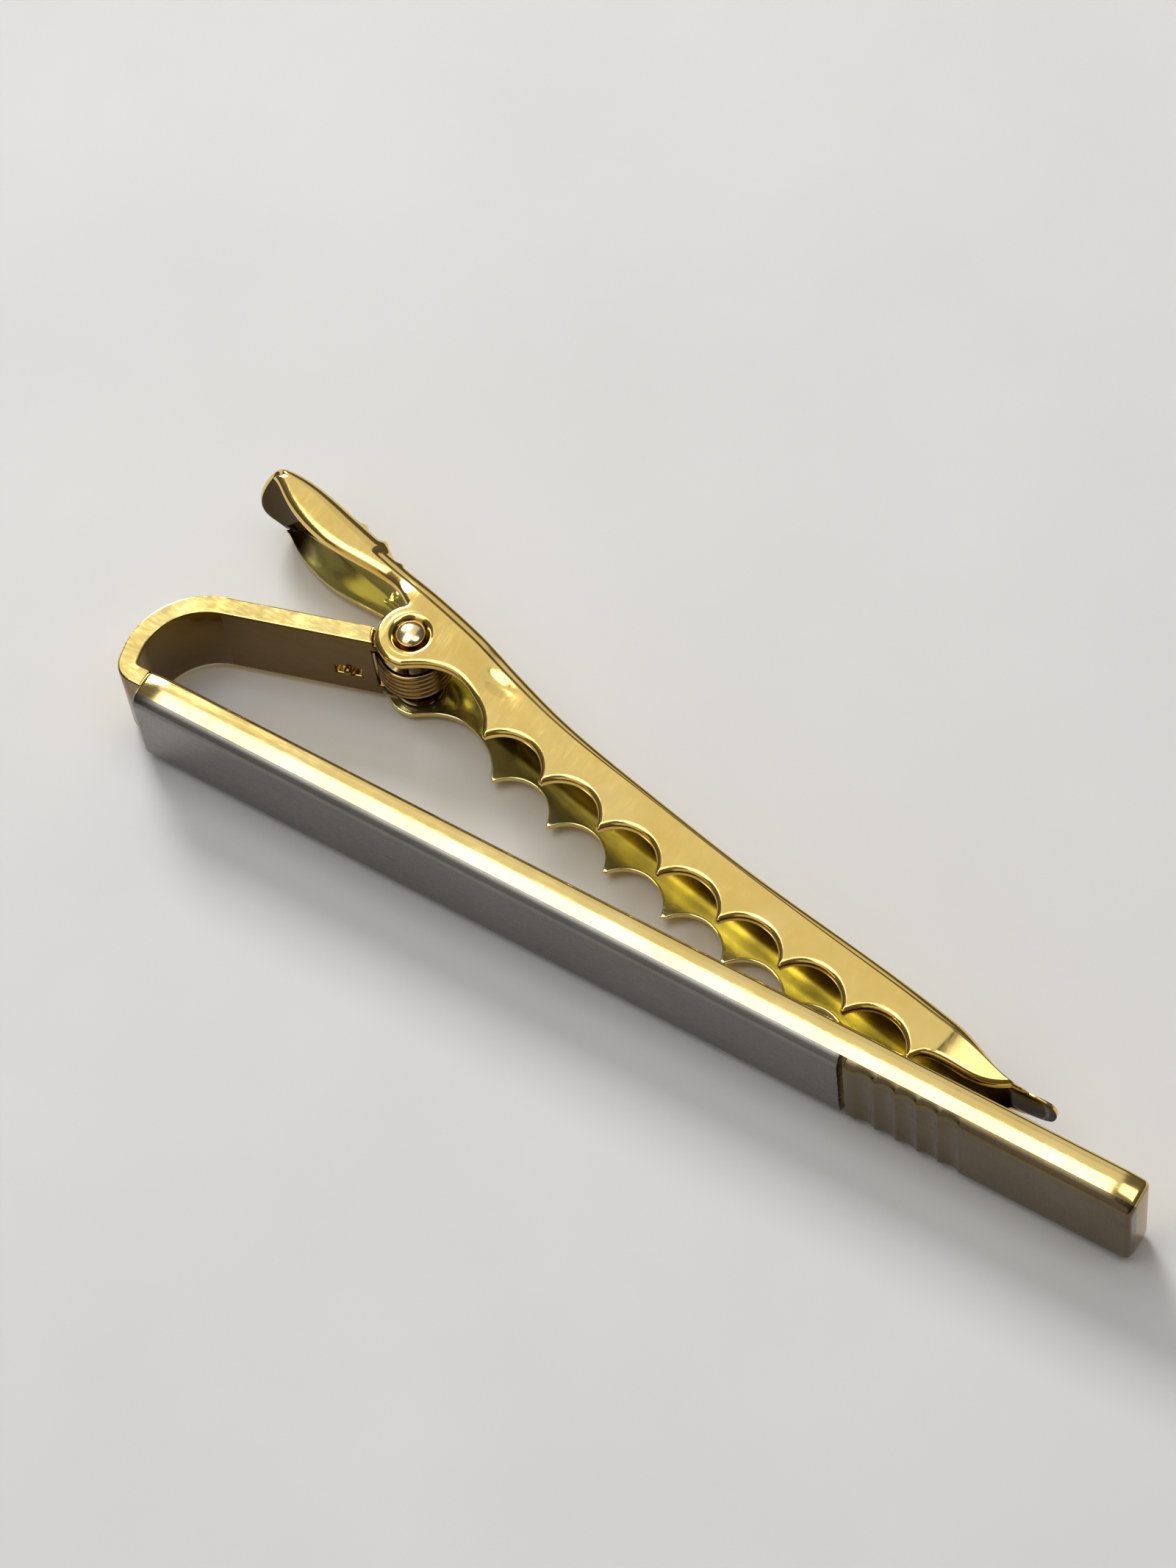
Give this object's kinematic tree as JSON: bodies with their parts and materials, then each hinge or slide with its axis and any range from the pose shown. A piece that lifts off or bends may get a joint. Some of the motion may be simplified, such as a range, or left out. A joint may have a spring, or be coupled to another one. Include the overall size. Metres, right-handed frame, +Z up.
{
  "type": "tie clip",
  "caption": "Slim two-tone tie clip: a flat bar with a satin silver front and a fluted gold end, a bent-back arm and a toothed sprung jaw on a riveted pin.",
  "frame": {"origin": "middle of the base of the closed clip, lying on the long side of its bar with the pin upright", "axes": "+X along the bar from the hinge end to the free end, +Y from the bar's front face to the jaw, +Z up along the hinge pin"},
  "size_m": [0.058, 0.0152, 0.006],
  "materials": {
    "polished_gold": "polished",
    "satin_silver": "satin",
    "satin_gold": "satin",
    "jaw_gold": "polished",
    "pin_gold": "polished",
    "spring_wire": "polished"
  },
  "bodies": {
    "bar": {"bar_body": "polished_gold", "silver_face": "satin_silver", "gold_end_face": "satin_gold", "arm": "polished_gold", "torsion_spring": "spring_wire"},
    "jaw": {"jaw": "jaw_gold", "hinge_pin": "pin_gold"}
  },
  "joints": [
    {"name": "jaw_pivot", "type": "hinge", "parent": "bar", "child": "jaw", "pos_m": [-0.0167, 0.00239, 0.003], "axis": [0, 0, 1], "range_deg": [0, 33], "stiffness_Nm_per_rad": 0.08, "deforming": ["torsion_spring"]}
  ]
}
